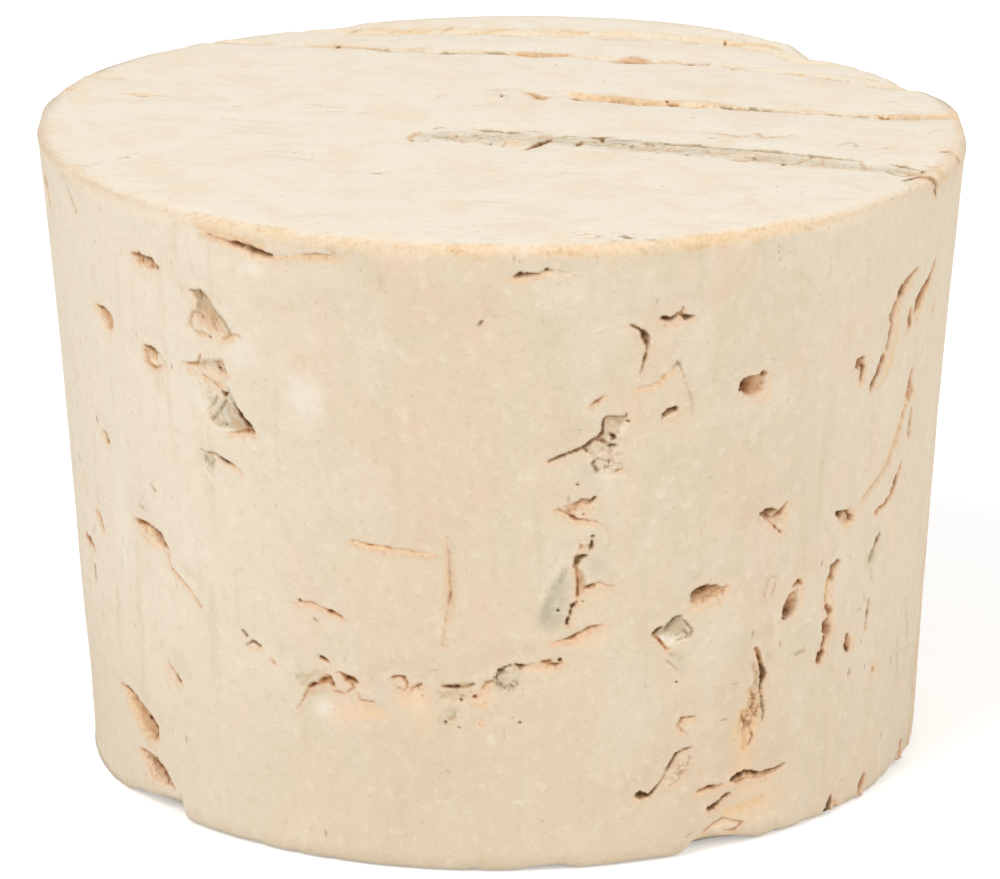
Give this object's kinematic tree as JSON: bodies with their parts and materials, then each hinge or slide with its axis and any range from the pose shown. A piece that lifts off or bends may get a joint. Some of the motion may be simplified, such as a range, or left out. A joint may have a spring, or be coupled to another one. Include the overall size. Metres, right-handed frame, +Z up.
{
  "type": "cork stopper",
  "caption": "Tapered stopper of natural cork, with rounded rims, growth lines across its wide end, and pores and clefts in its side.",
  "frame": {"origin": "centre of the bounding box's base, on the surface that the narrow end rests on", "axes": "+Z up, from the narrow end to the wide end; -Y to the front; the growth layers stand across the part, along X"},
  "size_m": [0.0549, 0.055, 0.0385],
  "materials": {
    "cork": "bleached natural cork, cut and sanded, matt, with rust-brown pores and ochre rims"
  },
  "bodies": {
    "root": {"stopper": "cork"}
  },
  "joints": []
}
